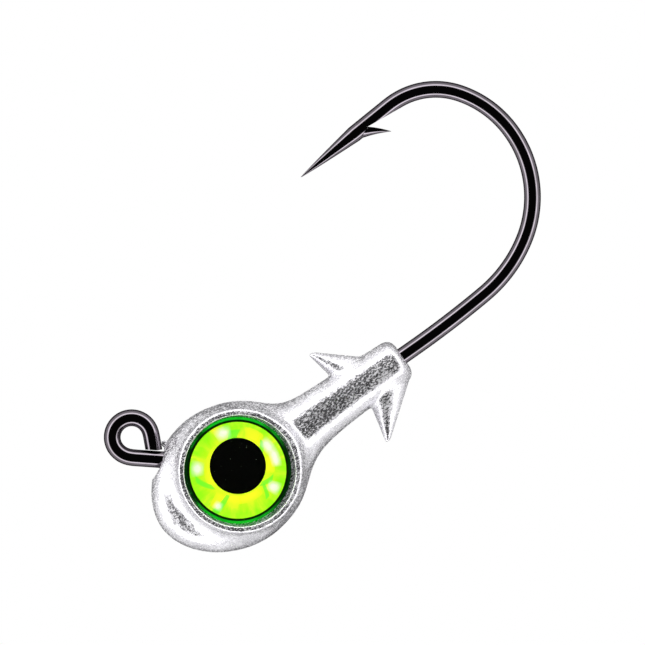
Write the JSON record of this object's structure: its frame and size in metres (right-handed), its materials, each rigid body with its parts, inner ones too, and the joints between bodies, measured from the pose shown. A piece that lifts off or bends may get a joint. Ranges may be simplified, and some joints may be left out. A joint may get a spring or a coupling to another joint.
{
  "type": "jig head",
  "caption": "Unpainted cast ball jig head with domed foil eyes and a barbed bait collar, moulded round a bent wire hook with a line-tie eye.",
  "frame": {"origin": "middle of the line-tie eye, in the plane of the hook wire", "axes": "+X along the hook shank from the head to the bend, +Z from the shank to the hook point, Y normal to the plane of the hook, so the fish faces -X and its left cheek is on -Y"},
  "size_m": [0.0435, 0.0076, 0.0244],
  "materials": {
    "cast_lead": "satin",
    "black_nickel_wire": "gloss",
    "eye_adhesive": "matte",
    "eye_foil": "gloss",
    "eye_ink": "gloss",
    "eye_resin": "polished"
  },
  "bodies": {
    "root": {"head_casting": "cast_lead", "hook": "black_nickel_wire", "left_eye_adhesive": "eye_adhesive", "left_eye_foil": "eye_foil", "left_eye_pupil": "eye_ink", "left_eye_dome": "eye_resin", "right_eye_adhesive": "eye_adhesive", "right_eye_foil": "eye_foil", "right_eye_pupil": "eye_ink", "right_eye_dome": "eye_resin"}
  },
  "joints": []
}
